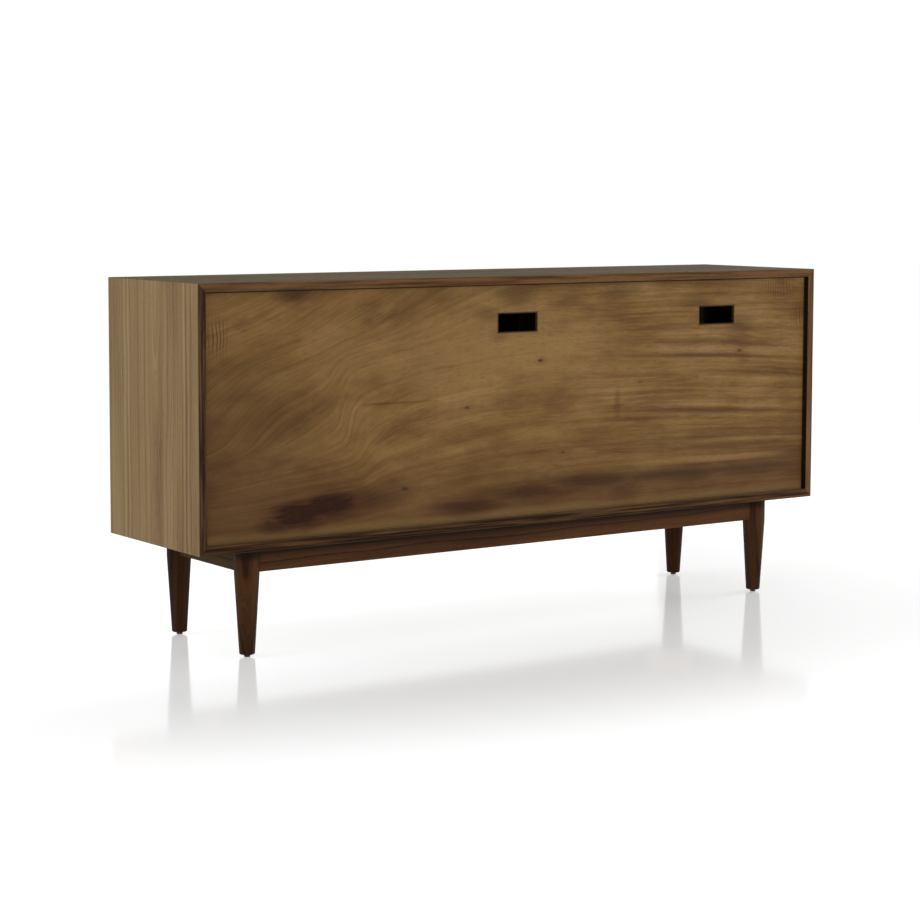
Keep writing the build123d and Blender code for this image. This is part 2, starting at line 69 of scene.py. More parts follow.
# %% Node helpers
def tint(red, green, blue):
    """A colour given in screen values, as the linear numbers that Blender mixes."""
    parts = [value / 255 for value in (red, green, blue)]
    return [p / 12.92 if p <= 0.04045 else ((p + 0.055) / 1.055) ** 2.4 for p in parts] + [1.0]


def feed(tree, socket, value):
    """Link a socket to another node, or type a number or a colour into it."""
    if isinstance(value, bpy.types.NodeSocket):
        tree.links.new(value, socket)
    else:
        socket.default_value = value


def add(tree, kind, sockets, **settings):
    """Add a shader node with its settings and its sockets filled in."""
    node = tree.nodes.new("ShaderNode" + kind)
    for name, value in settings.items():
        setattr(node, name, value)
    for name, value in sockets.items():
        feed(tree, node.inputs[name], value)
    return node


def calc(tree, operation, first, second=0.0, third=0.0):
    """One sum."""
    return add(tree, "Math", {0: first, 1: second, 2: third}, operation=operation).outputs[0]


def fade(tree, value, low, high, bottom=0.0, top=1.0):
    """Ease from bottom to top while a value goes from low to high."""
    sockets = {"Value": value, "From Min": low, "From Max": high, "To Min": bottom, "To Max": top}
    return add(tree, "MapRange", sockets, interpolation_type="SMOOTHSTEP").outputs[0]


def mix(tree, share, under, over):
    """Lay one colour over another."""
    sockets = {0: share, 6: under, 7: over}
    return add(tree, "Mix", sockets, data_type="RGBA").outputs[2]


def stretch(tree, vector, sizes):
    """Divide a vector by three sizes, so that a pattern gets those sizes in metres."""
    scale = [1.0 / size for size in sizes]
    return add(tree, "VectorMath", {0: vector, 1: scale}, operation="MULTIPLY").outputs[0]


def noise(tree, vector, detail=2.0, roughness=0.5):
    """Soft random values from 0 to 1, about one lump per unit."""
    sockets = {"Vector": vector, "Scale": 1.0, "Detail": detail, "Roughness": roughness}
    return add(tree, "TexNoise", sockets).outputs[0]


def strip(tree, value, detail=3.0):
    """Random values along a single number, such as a distance from the heart of a log."""
    sockets = {"W": value, "Scale": 1.0, "Detail": detail, "Roughness": 0.55}
    return add(tree, "TexNoise", sockets, noise_dimensions="1D").outputs[0]


def ramp(tree, value, stops):
    """Turn a value into a colour by stops of (place, colour)."""
    node = add(tree, "ValToRGB", {"Fac": value})
    band = node.color_ramp.elements
    while len(band) < len(stops):
        band.new(0.5)
    for element, (place, colour) in zip(band, stops):
        element.position = place
        element.color = colour
    return node.outputs[0]


print("helpers for nodes ready")

# %% [markdown]
# An effect that several finishes share is wired once, as a node group with named sockets, and then put to
# use in each of them with its own values. Two more helpers make such a group and place it.

# %% Group helpers
def new_group(name, inputs, outputs):
    """An empty node group with named sockets, given as (name, kind, value)."""
    group = bpy.data.node_groups.new(name, "ShaderNodeTree")
    for label, kind, value in inputs:
        socket = group.interface.new_socket(label, in_out="INPUT", socket_type="NodeSocket" + kind)
        if value is not None:
            socket.default_value = value
    for label in outputs:
        group.interface.new_socket(label, in_out="OUTPUT", socket_type="NodeSocketFloat")
    return group, group.nodes.new("NodeGroupInput").outputs, group.nodes.new("NodeGroupOutput").inputs


def place_group(tree, group, sockets):
    """Put a node group into a material or another group."""
    node = tree.nodes.new("ShaderNodeGroup")
    node.node_tree = group
    for name, value in sockets.items():
        feed(tree, node.inputs[name], value)
    return node.outputs


print("helpers for groups ready")

# %% [markdown]
# ## Studio floor
# The studio is white all round: a pale floor that runs into a white backdrop. The floor is varnished
# where the cabinet stands and bare further out, so the legs are mirrored and the mirror image dies away.
# It is lit from below like a light table, which keeps it white and its shadows faint.

# %% Floor
bpy.ops.object.select_all(action="DESELECT")
bpy.ops.mesh.primitive_plane_add(size=40.0)
floor = bpy.context.object
floor.name = "studio_floor"
floor_paint = bpy.data.materials.new("studio_floor_paint")
floor_paint.use_nodes = True
tree = floor_paint.node_tree
shader = tree.nodes["Principled BSDF"]
shader.inputs["Base Color"].default_value = tint(190, 190, 190)
shader.inputs["Specular IOR Level"].default_value = 0.0
shader.inputs["Coat Roughness"].default_value = 0.1
shader.inputs["Coat IOR"].default_value = 1.55
shader.inputs["Emission Color"].default_value = (1.0, 1.0, 1.0, 1.0)
shader.inputs["Emission Strength"].default_value = 0.59
varnish_reach = (1.5, 0.8, 1.0)
fade_start, fade_end = 0.8, 1.6
spot = stretch(tree, add(tree, "TexCoord", {}).outputs["Object"], varnish_reach)
far = add(tree, "VectorMath", {0: spot}, operation="LENGTH").outputs["Value"]
feed(tree, shader.inputs["Coat Weight"], fade(tree, far, fade_start, fade_end, 1.0, 0.0))
floor.data.materials.append(floor_paint)
print("floor:", floor.dimensions[:])

# %% [markdown]
# ## Studio light
# A soft wash comes from in front of the cabinet, a low strip lights the floor under it, a box lights each
# end, and the white surroundings fill the rest. The backdrop is a little brighter to the eye than it is
# as a light. Standard colour keeps the white white.

# %% Light
scene = bpy.context.scene
scene.view_settings.view_transform = "Standard"
scene.world = bpy.data.worlds.new("white_studio")
scene.world.use_nodes = True
studio = scene.world.node_tree
surround = studio.nodes["Background"]
surround.inputs["Strength"].default_value = 0.73
backdrop = studio.nodes.new("ShaderNodeBackground")
backdrop.inputs["Strength"].default_value = 1.1
eye = studio.nodes.new("ShaderNodeLightPath")
choice = studio.nodes.new("ShaderNodeMixShader")
for paint in (surround, backdrop):
    paint.inputs["Color"].default_value = (1.0, 1.0, 1.0, 1.0)
studio.links.new(eye.outputs["Is Camera Ray"], choice.inputs[0])
studio.links.new(surround.outputs[0], choice.inputs[1])
studio.links.new(backdrop.outputs[0], choice.inputs[2])
studio.links.new(choice.outputs[0], studio.nodes["World Output"].inputs[0])


def aim_lamp(name, kind, place, target, power):
    """A lamp of some kind that stands at a place and faces a target."""
    bpy.ops.object.light_add(type=kind, location=place)
    lamp = bpy.context.object
    lamp.name = name
    lamp.data.energy = power
    lamp.rotation_euler = (Vector(target) - Vector(place)).to_track_quat("-Z", "Y").to_euler()
    print("lamp", name, kind, power)
    return lamp.data


def soft_box(name, place, target, power, wide, tall):
    """A lamp with a flat front of some width and height."""
    lamp = aim_lamp(name, "AREA", place, target, power)
    lamp.shape = "RECTANGLE"
    lamp.size = wide
    lamp.size_y = tall


wash = aim_lamp("window_wash", "SUN", (-2.1, -2.1, 1.9), (0.0, 0.0, 0.0), 0.42)
wash.angle = math.radians(22)
soft_box("low_strip", (0.0, -2.4, 0.35), (0.0, 0.3, 0.0), 5.0, 5.0, 0.6)
soft_box("end_box", (3.4, -0.6, 2.2), (0.8, 0.0, 0.6), 30.0, 1.6, 1.8)
soft_box("far_box", (-2.6, 0.1, 1.0), (-0.7, 0.15, 0.1), 30.0, 1.2, 1.2)

# %% [markdown]
# ## Effect: log figure
# Grain is what a flat cut makes of the rings of a log. The group measures the distance from a log's heart
# that lies a little behind the board and tilts along it, wavers that distance with soft noise, and reads
# random bands along it. Straight lines and pointed arches then come out by themselves.

# %% Log figure group
log_figure, into, out = new_group(
    "log_figure",
    [
        ("Vector", "Vector", None),
        ("Heart Depth", "Float", 0.05),
        ("Tilt", "Float", 0.05),
        ("Ring Width", "Float", 0.008),
        ("Waver", "Float", 0.01),
    ],
    ["Tone", "Line"],
)
tree = log_figure
slow = calc(tree, "SUBTRACT", noise(tree, stretch(tree, into["Vector"], (0.35, 0.07, 0.07))), 0.5)
quick = calc(tree, "SUBTRACT", noise(tree, stretch(tree, into["Vector"], (0.09, 0.012, 0.012))), 0.5)
shake = calc(tree, "MULTIPLY_ADD", quick, 0.16, slow)
part = add(tree, "SeparateXYZ", {"Vector": into["Vector"]}).outputs
across = calc(tree, "MULTIPLY_ADD", shake, into["Waver"], part["Y"])
depth = calc(tree, "MULTIPLY_ADD", part["X"], into["Tilt"], into["Heart Depth"])
depth = calc(tree, "ADD", depth, part["Z"])
depth = calc(tree, "MULTIPLY_ADD", shake, into["Waver"], depth)
square = calc(tree, "ADD", calc(tree, "MULTIPLY", across, across), calc(tree, "MULTIPLY", depth, depth))
rings = calc(tree, "DIVIDE", calc(tree, "SQRT", square), into["Ring Width"])
broad = strip(tree, rings, 2.0)
fine = strip(tree, calc(tree, "MULTIPLY", rings, 4.7), 3.0)
feed(tree, out["Tone"], calc(tree, "MULTIPLY_ADD", fine, 0.4, calc(tree, "MULTIPLY", broad, 0.6)))
feed(tree, out["Line"], fade(tree, fine, 0.56, 0.74))
print("group", log_figure.name, "has", len(log_figure.nodes), "nodes")

# %% [markdown]
# ## Effect: pores
# Walnut has open pores: dark hair lines, some millimetres long, that run with the grain. Noise that is
# pulled out along the grain and cut off above a limit leaves just such short lines.

# %% Pores group
pores, into, out = new_group(
    "pores",
    [
        ("Vector", "Vector", None),
        ("Length", "Float", 0.02),
        ("Width", "Float", 0.0007),
        ("Cut", "Float", 0.6),
    ],
    ["Mask"],
)
tree = pores
size = add(tree, "CombineXYZ", {"X": into["Length"], "Y": into["Width"], "Z": into["Width"]}).outputs[0]
drawn = add(tree, "VectorMath", {0: into["Vector"], 1: size}, operation="DIVIDE").outputs[0]
hair = noise(tree, drawn, 1.0)
feed(tree, out["Mask"], fade(tree, hair, into["Cut"], calc(tree, "ADD", into["Cut"], 0.12)))
print("group", pores.name, "has", len(pores.nodes), "nodes")

# %% [markdown]
# ## Effect: cloud
# Stain, knots and mineral streaks are dark places with a soft, uneven rim. The group gives 1 in the
# middle of an ellipse and fades to 0 at its rim. How ragged the rim is comes in from outside, so that one
# noise can serve many clouds.

# %% Cloud group
cloud, into, out = new_group(
    "cloud",
    [
        ("Vector", "Vector", None),
        ("Centre", "Vector", (0.0, 0.0, 0.0)),
        ("Reach", "Vector", (1.0, 1.0, 1.0)),
        ("Ragged", "Float", 0.0),
        ("Strength", "Float", 1.0),
    ],
    ["Mask"],
)
tree = cloud
away = add(tree, "VectorMath", {0: into["Vector"], 1: into["Centre"]}, operation="SUBTRACT").outputs[0]
away = add(tree, "VectorMath", {0: away, 1: into["Reach"]}, operation="DIVIDE").outputs[0]
far = add(tree, "VectorMath", {0: away}, operation="LENGTH").outputs["Value"]
rim = calc(tree, "ADD", far, into["Ragged"])
feed(tree, out["Mask"], calc(tree, "MULTIPLY", fade(tree, rim, 0.1, 1.1, 1.0, 0.0), into["Strength"]))
print("group", cloud.name, "has", len(cloud.nodes), "nodes")

# %% [markdown]
# ## Effect: lacquer
# The timber is sealed with a thin satin lacquer. It is never quite even: broad wipes and fine dust make
# some places a little duller, and the lacquer sinks into the pores.

# %% Lacquer group
lacquer, into, out = new_group(
    "lacquer",
    [("Vector", "Vector", None), ("Pores", "Float", 0.0), ("Base", "Float", 0.45)],
    ["Roughness"],
)
tree = lacquer
wipe = calc(tree, "SUBTRACT", noise(tree, stretch(tree, into["Vector"], (0.3, 0.12, 0.12))), 0.5)
dust = calc(tree, "SUBTRACT", noise(tree, stretch(tree, into["Vector"], (0.004, 0.004, 0.004))), 0.5)
dull = calc(tree, "MULTIPLY_ADD", wipe, 0.22, into["Base"])
dull = calc(tree, "MULTIPLY_ADD", dust, 0.1, dull)
feed(tree, out["Roughness"], calc(tree, "MULTIPLY_ADD", into["Pores"], 0.14, dull))
print("group", lacquer.name, "has", len(lacquer.nodes), "nodes")

# %% [markdown]
# ## Timber recipe
# The case, the fronts, the base and the drawer boxes are all timber, cut and laid in different ways, and
# one recipe will serve them all. It needs three helpers first: a new material, a relief on its surface,
# and a way to lay the object's own coordinates so that X runs with the grain.

# %% Finish helpers
def new_finish(name, gloss=0.5, metal=0.0):
    """A material with its tree, its shader and its coordinates."""
    finish = bpy.data.materials.new(name)
    finish.use_nodes = True
    tree = finish.node_tree
    shader = tree.nodes["Principled BSDF"]
    shader.inputs["Specular IOR Level"].default_value = gloss
    shader.inputs["Metallic"].default_value = metal
    return finish, tree, shader, add(tree, "TexCoord", {}).outputs


def relief(tree, shader, height, distance):
    """Raise and sink the surface by a height from 0 to 1."""
    bump = add(tree, "Bump", {"Height": height, "Distance": distance, "Strength": 1.0})
    feed(tree, shader.inputs["Normal"], bump.outputs[0])


def laid(centre, turn=(0.0, 0.0, 0.0)):
    """Lay the grain of a flat board: turn its X axis along the grain about a centre."""
    def lay(tree, coords):
        sockets = {"Vector": coords["Object"], "Location": centre, "Rotation": turn}
        return add(tree, "Mapping", sockets, vector_type="TEXTURE").outputs[0]
    return lay


quarter = math.pi / 2
print("finish helpers ready, a quarter turn is", round(quarter, 4))

# %% [markdown]
# Faces of a case board that look to the front or the back are its edges, and these carry a darker strip.
# The back panel is set in from the back edges, and the sides and the top of the recess behind it get a
# painted shade, nearly black. Where these faces lie is measured on the solids.

# %% Edges of the case boards
def edge_strip(tree, coords, edge, colour):
    """Mask, face colour and strip colour for the edges of a board that look to the front or the back."""
    low, high, sizes, drift = edge
    side = add(tree, "SeparateXYZ", {"Vector": coords["Normal"]}).outputs["Y"]
    mask = fade(tree, calc(tree, "ABSOLUTE", side), 0.5, 0.9)
    streak = noise(tree, stretch(tree, coords["Object"], sizes), 4.0)
    away = add(tree, "VectorMath", {0: coords["Object"], 1: case_middle}, operation="SUBTRACT").outputs[0]
    slant = add(tree, "VectorMath", {0: away, 1: drift}, operation="DOT_PRODUCT").outputs["Value"]
    streak = calc(tree, "ADD", streak, slant)
    return mask, colour, ramp(tree, streak, [(0.30, tint(*low)), (0.70, tint(*high))])


def recess_painted_shade(tree, coords, colour):
    """Painted shade: darken the two sides and the top of the recess behind the back panel."""
    part = add(tree, "SeparateXYZ", {"Vector": coords["Object"]}).outputs
    behind = fade(tree, part["Y"], back_face - 0.0009, back_face + 0.0001)
    sideways = calc(tree, "ABSOLUTE", part["X"])
    between = fade(tree, sideways, inner_side + 0.0006, inner_side + 0.0002)
    below = fade(tree, part["Z"], inner_top + 0.0006, inner_top + 0.0002)
    above = fade(tree, part["Z"], inner_bottom + 0.0002, inner_bottom + 0.0008)
    inside = calc(tree, "MULTIPLY", behind, between)
    inside = calc(tree, "MULTIPLY", inside, below)
    inside = calc(tree, "MULTIPLY", inside, above)
    return mix(tree, calc(tree, "MULTIPLY", inside, 0.96), colour, tint(8, 5, 3))


end_low, end_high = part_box("right_end_panel")
case_middle = (0.0, 0.0, (end_low.z + end_high.z) / 2)
case_underside, inner_bottom = [corner.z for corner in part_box("bottom_panel")]
inner_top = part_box("top_panel")[0].z
inner_side = end_low.x
back_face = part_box("back_panel")[1].y
inside_faces = (inner_side, inner_bottom, inner_top, back_face)
print("inner faces of the case and back:", [round(face, 4) for face in inside_faces])

# %% [markdown]
# The recipe itself reads the log figure and the pores along the grain and mixes three browns by them. The
# legs and the rails also get a painted shade just under the case, where light hardly reaches.

# %% Timber recipe
def timber(
    name, lay, figure, browns, edge=None, satin=0.55, pore=0.45, line=0.25, gloss=0.18, painted_shade_under_case=False
):
    """Timber with its grain along the X axis that the lay gives."""
    finish, tree, shader, coords = new_finish(name, gloss)
    grain = lay(tree, coords)
    depth, tilt, width, waver = figure
    sockets = {"Vector": grain, "Heart Depth": depth, "Tilt": tilt, "Ring Width": width, "Waver": waver}
    rings = place_group(tree, log_figure, sockets)
    pore_size = {"Length": 0.022, "Width": 0.0008, "Cut": 0.58}
    hair = place_group(tree, pores, {"Vector": grain, **pore_size})["Mask"]
    blot = noise(tree, stretch(tree, grain, (0.6, 0.05, 0.05)), 3.0)
    tone = calc(tree, "MULTIPLY_ADD", blot, 0.35, calc(tree, "MULTIPLY", rings["Tone"], 0.65))
    dark, middle, light = [tint(*brown) for brown in browns]
    colour = ramp(tree, tone, [(0.36, dark), (0.5, middle), (0.66, light)])
    colour = mix(tree, calc(tree, "MULTIPLY", rings["Line"], line), colour, dark)
    if edge:
        colour = mix(tree, *edge_strip(tree, coords, edge, colour))
        # painted shade on the sides and the top of the recess behind the back panel
        colour = recess_painted_shade(tree, coords, colour)
    if painted_shade_under_case:
        # painted shade: darker just under the case, where the case shades the legs and rails
        up = add(tree, "SeparateXYZ", {"Vector": coords["Object"]}).outputs["Z"]
        shade = fade(tree, up, case_underside - 0.030, case_underside - 0.008, 0.0, 0.9)
        colour = mix(tree, shade, colour, tint(28, 14, 6))
    colour = mix(tree, calc(tree, "MULTIPLY", hair, pore), colour, dark)
    feed(tree, shader.inputs["Base Color"], colour)
    dull = place_group(tree, lacquer, {"Vector": grain, "Pores": hair, "Base": satin})["Roughness"]
    feed(tree, shader.inputs["Roughness"], dull)
    sunk = calc(tree, "MULTIPLY_ADD", hair, -0.8, calc(tree, "MULTIPLY", rings["Tone"], 0.25))
    relief(tree, shader, sunk, 0.0002)
    print("timber", name, "with", len(tree.nodes), "nodes")
    return finish


print("timber recipe ready, middle of the case at", case_middle)

# %% [markdown]
# ## Case veneers
# The ends are veneered with upright grain, straight and fine, with one narrow arch near the top. The top
# and the bottom run lengthwise, and so do the doors and the drawer fronts.

# %% Case veneers
case_browns = [(90, 67, 43), (121, 98, 65), (140, 117, 82)]
top_browns = [(60, 48, 30), (89, 75, 48), (108, 92, 62)]
front_browns = [(80, 56, 33), (117, 90, 56), (140, 111, 73)]
edge_browns = [(42, 24, 13), (112, 80, 50)]
upright_edge = edge_browns + [(0.005, 0.005, 0.16), (-0.13, 0.0, 0.0)]
level_edge = edge_browns + [(0.16, 0.005, 0.005), (-0.05, 0.0, 0.45)]
arch_aside, arch_slope, arch_height, arch_depth = 0.016, 0.06, 0.0449, 0.02
through_board = 0.2


def lay_ends(tree, coords):
    """Upright grain on the boards that stand across the cabinet, with one arch near their top."""
    part = add(tree, "SeparateXYZ", {"Vector": coords["Object"]}).outputs
    across = calc(tree, "SUBTRACT", part["Y"], arch_aside)
    inwards = calc(tree, "SUBTRACT", calc(tree, "ABSOLUTE", part["X"]), end_high.x)
    arch = calc(tree, "MULTIPLY_ADD", part["Z"], -arch_slope, arch_height)
    arch = calc(tree, "MINIMUM", arch, arch_depth)
    arch = calc(tree, "MAXIMUM", arch, 0.0)
    arch = calc(tree, "MULTIPLY_ADD", inwards, through_board, arch)
    return add(tree, "CombineXYZ", {"X": part["Z"], "Y": across, "Z": arch}).outputs[0]


end_figure = (0.0, 0.0, 0.009, 0.022)
end_veneer = timber(
    "walnut_end_veneer", lay_ends, end_figure, case_browns, upright_edge, pore=0.3, line=0.08, gloss=0.08
)
board_lay = laid((0.25, 0.05, 0.76))
board_figure = (0.05, 0.03, 0.008, 0.015)
board_veneer = timber(
    "walnut_board_veneer", board_lay, board_figure, top_browns, level_edge, satin=0.8, gloss=0.07
)
front_lay = laid((0.1, -0.19, 0.56), (quarter, 0.0, 0.0))
front_veneer = timber("walnut_front_veneer", front_lay, (0.01, 0.03, 0.008, 0.012), front_browns)

# %% [markdown]
# ## Solid walnut of the base
# The legs are turned from the solid and the rails are cut from it, and both are darker and redder than
# the veneer. Every leg has its grain upright about its own axis. Folding the coordinates about the middle
# of the cabinet brings all four axes together, and a jump along the grain keeps the four legs different.

# %% Base timber
leg_browns = [(28, 13, 4), (60, 35, 14), (88, 57, 25)]
# Painted shade: the front legs get darker browns than the back legs, as they stand in the shade of the case.
painted_shade_leg_browns = [(22, 10, 4), (48, 28, 12), (72, 46, 22)]
rail_browns = [(42, 22, 9), (84, 51, 25), (110, 71, 37)]
# Painted shade and painted reflection: the end rails get darker browns with an olive cast from the end panels
# above them.
painted_shade_end_rail_browns = [(38, 25, 9), (72, 54, 26), (92, 72, 38)]
leg_low, leg_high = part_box("back_right_leg")
leg_axis = (leg_low + leg_high) / 2
row_jump, end_jump, heart_aside = 9.1, 4.3, 0.012


def lay_legs(tree, coords):
    """Upright grain about each leg's own axis."""
    part = add(tree, "SeparateXYZ", {"Vector": coords["Object"]}).outputs
    jump = calc(tree, "MULTIPLY_ADD", calc(tree, "SIGN", part["Y"]), row_jump, part["Z"])
    jump = calc(tree, "MULTIPLY_ADD", calc(tree, "SIGN", part["X"]), end_jump, jump)
    side = calc(tree, "SUBTRACT", calc(tree, "ABSOLUTE", part["X"]), leg_axis.x - heart_aside)
    back = calc(tree, "SUBTRACT", calc(tree, "ABSOLUTE", part["Y"]), leg_axis.y)
    return add(tree, "CombineXYZ", {"X": jump, "Y": side, "Z": back}).outputs[0]


leg_figure = (0.02, 0.0, 0.007, 0.012)
leg_walnut = timber("walnut_back_legs", lay_legs, leg_figure, leg_browns, gloss=0.08, painted_shade_under_case=True)
painted_shade_leg_walnut = timber("walnut_front_legs_painted_shade", lay_legs, leg_figure, painted_shade_leg_browns, gloss=0.05, painted_shade_under_case=True)
rail_figure = (0.03, 0.01, 0.008, 0.01)
long_lay = laid((0.3, 0.12, 0.2))
cross_lay = laid((0.66, 0.1, 0.2), (0.0, 0.0, quarter))
long_walnut = timber("walnut_long_rails", long_lay, rail_figure, rail_browns, gloss=0.1, painted_shade_under_case=True)
painted_shade_cross_walnut = timber("walnut_end_rails_painted_shade", cross_lay, rail_figure, painted_shade_end_rail_browns, gloss=0.05, painted_shade_under_case=True)
print("leg axis at", [round(v, 4) for v in leg_axis])

# %% [markdown]
# ## Figured back panel
# The back is one wide sheet of rotary cut veneer, and its figure is what one remembers of this side: a
# long S of grain climbs from the drawer end, steepens, and runs out into level wavy streaks. A curve
# gives the height of that S along the panel. Measured against it, every point has a height of its own "in
# the grain", and bands read along that height follow the S everywhere.

# %% Grain of the back panel
figured_back, tree, shader, coords = new_finish("walnut_back_figure", gloss=0.1)
part = add(tree, "SeparateXYZ", {"Vector": coords["Object"]}).outputs
sideways = fade(tree, part["Z"], 0.30, 0.57, 0.05, 0.0)
panel_length = 1.62
along = calc(tree, "MULTIPLY_ADD", part["X"], -1 / panel_length, 0.5)
along = calc(tree, "SUBTRACT", along, sideways)
rise = add(tree, "FloatCurve", {"Value": along})
climb = rise.mapping.curves[0]
climb.points[0].location = (0.0, 0.13)
climb.points[1].location = (1.0, 0.82)
foot_of_s = [(0.022, 0.18), (0.093, 0.36), (0.149, 0.45), (0.179, 0.51)]
head_of_s = [(0.200, 0.61), (0.222, 0.70), (0.265, 0.767), (0.351, 0.838), (0.44, 0.874)]
for place, height in foot_of_s + head_of_s:
    climb.points.new(place, height)
rise.mapping.update()
lift = calc(tree, "MULTIPLY_ADD", rise.outputs[0], 0.42, -0.367)
slope = fade(tree, part["X"], 0.95, -0.05, -0.317, 0.013)
upper = fade(tree, part["Z"], 0.565, 0.66)
lift = add(tree, "Mix", {0: upper, 2: lift, 3: slope}, data_type="FLOAT").outputs[0]
swing = fade(tree, part["Z"], 0.26, 0.44, 0.15, 1.0)
height = calc(tree, "SUBTRACT", part["Z"], calc(tree, "MULTIPLY", lift, swing))
flat = add(tree, "CombineXYZ", {"X": part["X"], "Y": part["Z"]}).outputs[0]
drift = calc(tree, "SUBTRACT", noise(tree, stretch(tree, flat, (0.30, 0.10, 1.0)), 2.0), 0.5)
ripple = calc(tree, "SUBTRACT", noise(tree, stretch(tree, flat, (0.06, 0.02, 1.0)), 2.0), 0.5)
height = calc(tree, "MULTIPLY_ADD", drift, 0.018, height)
height = calc(tree, "MULTIPLY_ADD", ripple, 0.003, height)
flow = add(tree, "CombineXYZ", {"X": part["X"], "Y": height}).outputs[0]
print("the S climbs over", len(climb.points), "points")

# %% [markdown]
# Broad bands and fine lines are read along the height in the grain, and soft sweeps follow it. On the
# half away from the drawers the veneer is streaky, so there a noise that is pulled out along the grain
# takes over. A few nested arches open towards that end, and they come from the log figure laid flat.

# %% Bands and arches
broad = strip(tree, calc(tree, "DIVIDE", height, 0.030), 2.0)
fine = strip(tree, calc(tree, "DIVIDE", height, 0.0065), 3.0)
patch = noise(tree, stretch(tree, flat, (0.20, 0.09, 1.0)), 4.0, 0.5)
streak = noise(tree, stretch(tree, flow, (0.60, 0.010, 1.0)), 3.0)
drawer_half = fade(tree, part["X"], -0.30, 0.10)
arch_lay = {"Vector": flat, "Location": (-0.30, 0.5, 0.0)}
arch_grain = add(tree, "Mapping", arch_lay, vector_type="TEXTURE").outputs[0]
arch_size = {"Heart Depth": 0.0, "Tilt": 0.16, "Ring Width": 0.013, "Waver": 0.02}
arch = place_group(tree, log_figure, {"Vector": arch_grain, **arch_size})["Tone"]
combed = fade(tree, part["Z"], 0.36, 0.52, 0.04, 0.13)
calm = calc(tree, "MULTIPLY_ADD", broad, 0.14, calc(tree, "MULTIPLY", fine, combed))
calm = calc(tree, "ADD", calm, fade(tree, part["Z"], 0.36, 0.52, 0.045, 0.0))
sweep = noise(tree, stretch(tree, flow, (0.22, 0.016, 1.0)), 3.0)
calm = calc(tree, "MULTIPLY_ADD", patch, 0.50, calm)
calm = calc(tree, "MULTIPLY_ADD", sweep, 0.23, calm)
busy = calc(tree, "MULTIPLY_ADD", streak, 0.40, calc(tree, "MULTIPLY", arch, 0.12))
busy = calc(tree, "MULTIPLY_ADD", patch, 0.48, busy)
blend = add(tree, "Mix", {0: drawer_half, 2: busy, 3: calm}, data_type="FLOAT").outputs[0]
back_browns = [tint(*brown) for brown in [(96, 66, 34), (126, 94, 52), (150, 117, 71)]]
colour = ramp(tree, blend, list(zip((0.36, 0.5, 0.65), back_browns)))
blush = noise(tree, stretch(tree, flat, (0.14, 0.07, 1.0)), 3.0, 0.6)
colour = mix(tree, fade(tree, blush, 0.48, 0.72, 0.0, 0.6), colour, tint(106, 70, 41))
print("bands and arches:", len(tree.nodes), "nodes so far")

# %% [markdown]
# Five dark lines mark the S itself. Short threads, dark and light, run with the grain all over the sheet, and
# its low part gets a painted shade, darker and browner towards the bottom.

# %% Lines and threads
s_lines = [
    (0.672, 0.0035, 0.36),
    (0.663, 0.0025, 0.22),
    (0.684, 0.0025, 0.22),
    (0.699, 0.002, 0.16),
    (0.648, 0.002, 0.18),
]
for level, half, share in s_lines:
    off = calc(tree, "ABSOLUTE", calc(tree, "SUBTRACT", height, level))
    line = calc(tree, "MULTIPLY", fade(tree, off, 0.0, half, share, 0.0), drawer_half)
    colour = mix(tree, line, colour, tint(72, 48, 28))
thread = noise(tree, stretch(tree, flow, (0.05, 0.0030, 1.0)), 2.0)
thread_share = fade(tree, part["X"], -0.30, 0.10, 0.33, 0.22)
dark_thread = calc(tree, "MULTIPLY", fade(tree, thread, 0.52, 0.78), thread_share)
colour = mix(tree, dark_thread, colour, tint(80, 48, 26))
light_thread = calc(tree, "MULTIPLY", fade(tree, thread, 0.46, 0.26), thread_share)
colour = mix(tree, light_thread, colour, tint(160, 128, 82))
# painted shade: darker and browner towards the bottom of the sheet
low_painted_shade = fade(tree, part["Z"], 0.25, 0.45, 0.56, 0.0)
colour = mix(tree, low_painted_shade, colour, tint(75, 41, 22))
print("lines of the S:", len(s_lines), "and", len(tree.nodes), "nodes so far")

# %% [markdown]
# Glue, heat and minerals have left dark clouds near the edges of the sheet. Small knots are scattered
# over it, and the far half has level streaks, dark and light. Each is an ellipse given by its middle, its
# reach and its strength, in metres on the panel. A light golden place in the middle is made the same way.

# %% Clouds and knots
dark_clouds = [
    (0.64, 0.268, 0.08, 0.028, 0.8), (0.585, 0.286, 0.1, 0.045, 1.3), (0.515, 0.3, 0.12, 0.041, 1.2),
    (0.42, 0.304, 0.12, 0.036, 0.55), (0.16, 0.272, 0.15, 0.03, 0.74), (-0.77, 0.31, 0.09, 0.06, 0.4),
    (0.01, 0.292, 0.17, 0.03, 0.76), (-0.17, 0.304, 0.22, 0.028, 0.72), (-0.266, 0.286, 0.06, 0.062, 0.45),
    (-0.4, 0.302, 0.3, 0.028, 0.64), (-0.65, 0.302, 0.26, 0.028, 0.5), (0.36, 0.33, 0.06, 0.04, 0.28),
    (0.599, 0.734, 0.055, 0.024, 0.62), (0.42, 0.7, 0.055, 0.04, 0.32), (0.42, 0.678, 0.026, 0.018, 0.35),
    (0.05, 0.722, 0.085, 0.04, 0.5), (0.237, 0.725, 0.065, 0.026, 0.3), (-0.254, 0.722, 0.08, 0.032, 0.4),
    (-0.471, 0.694, 0.055, 0.026, 0.38), (-0.606, 0.637, 0.06, 0.032, 0.42), (0.113, 0.683, 0.05, 0.024, 0.4),
    (0.084, 0.637, 0.034, 0.022, 0.32), (0.76, 0.44, 0.34, 0.22, 0.38), (0.69, 0.3, 0.28, 0.12, 0.26),
    (-0.45, 0.38, 0.32, 0.014, 0.28), (0.357, 0.503, 0.13, 0.004, 0.4), (0.4, 0.548, 0.04, 0.03, 0.25),
    (-0.24, 0.473, 0.012, 0.05, 0.35),
]
